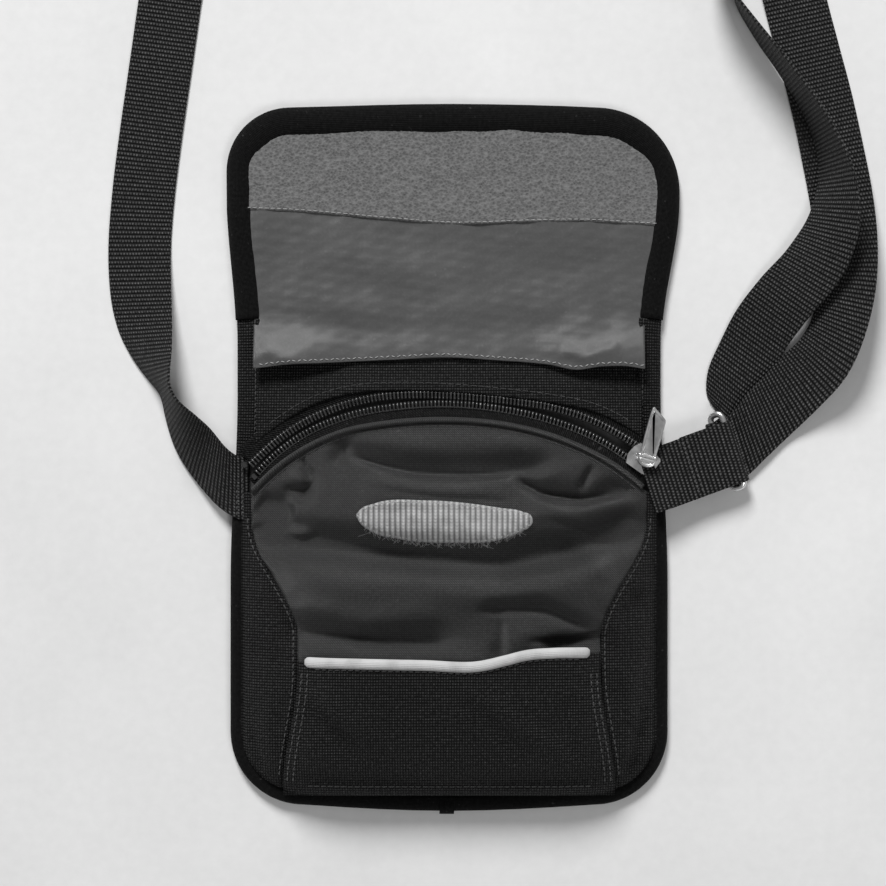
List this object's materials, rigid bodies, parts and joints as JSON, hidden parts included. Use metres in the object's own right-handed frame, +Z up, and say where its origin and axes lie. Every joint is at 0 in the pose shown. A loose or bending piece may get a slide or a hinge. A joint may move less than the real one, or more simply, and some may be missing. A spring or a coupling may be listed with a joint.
{
  "type": "shoulder pouch",
  "caption": "Small soft shoulder pouch lying open: fold-over flap, arched zip, front pocket with pale trim, hook patch and a webbing shoulder strap.",
  "frame": {"origin": "centre of the flat back face, on the surface that the pouch lies on", "axes": "+Z up through the front of the pouch, +Y from the bottom edge to the tip of the open flap, +X to the right as seen from the front"},
  "size_m": [0.3059, 0.5087, 0.0289],
  "materials": {
    "canvas": "coarse black canvas",
    "twill": "fine black twill",
    "binding": "smooth black binding tape",
    "lining": "thin grey lining cloth",
    "loop_pile": "grey brushed loop pile",
    "hook_tape": "light grey hook tape",
    "foam": "soft foam sheet",
    "pale_trim": "light grey edge tape",
    "zip_tape": "black zip tape",
    "zip_coil": "black nylon coil",
    "slider_metal": "satin nickel plate",
    "ring_metal": "polished nickel wire",
    "webbing": "ribbed black webbing",
    "thread": "black sewing thread",
    "adjuster_plastic": "moulded black plastic"
  },
  "bodies": {
    "bag": {"back_panel": "canvas", "back_foam": "foam", "back_lining": "lining", "body_binding": "canvas", "binding_end": "binding", "side_band_left": "canvas", "side_band_right": "canvas", "yoke_panel": "canvas", "gusset_left": "canvas", "gusset_right": "canvas", "front_panel": "twill", "front_lining": "lining", "arch_welt": "twill", "hook_patch": "hook_tape", "pocket_panel": "canvas", "pocket_trim": "pale_trim", "zip_tape_front": "zip_tape", "zip_tape_yoke": "zip_tape", "coil_front": "zip_coil", "coil_yoke": "zip_coil", "zip_stops": "slider_metal", "strap_tab": "webbing", "tab_stitches": "thread", "strap": "webbing", "anchor_stitches": "thread"},
    "flap": {"flap_shell": "canvas", "flap_foam": "foam", "flap_lining": "lining", "flap_loop_panel": "loop_pile", "flap_binding": "binding"},
    "slider": {"slider_body": "slider_metal", "slider_bridge": "slider_metal"},
    "puller": {"puller": "slider_metal"},
    "ring": {"strap_ring": "ring_metal"},
    "adjuster": {"strap_adjuster": "adjuster_plastic", "strap_end": "webbing"}
  },
  "joints": [
    {"name": "flap_fold", "type": "hinge", "parent": "bag", "child": "flap", "pos_m": [0, 0.045, 0.009], "axis": [1, 0, 0], "range_deg": [0, 172]},
    {"name": "zip_slide", "type": "hinge", "parent": "bag", "child": "slider", "pos_m": [0.0015, -0.1015, 0.008], "axis": [0, 0, 1], "range_deg": [0, 68]},
    {"name": "puller_swing", "type": "hinge", "parent": "slider", "child": "puller", "pos_m": [0.07788, -0.00141, 0.013], "axis": [0.9659, -0.2588, 0], "range_deg": [0, 160]},
    {"name": "ring_swing", "type": "hinge", "parent": "bag", "child": "ring", "pos_m": [0.11285, 0.00313, 0.0059], "axis": [-0.309, 0.9511, 0], "range_deg": [0, 12], "deforming": ["strap"]},
    {"name": "adjuster_slide", "type": "slide", "parent": "bag", "child": "adjuster", "axis": [-0.225, 0.9744, 0], "range_m": [-0.012, 0.012], "deforming": ["strap"]}
  ]
}
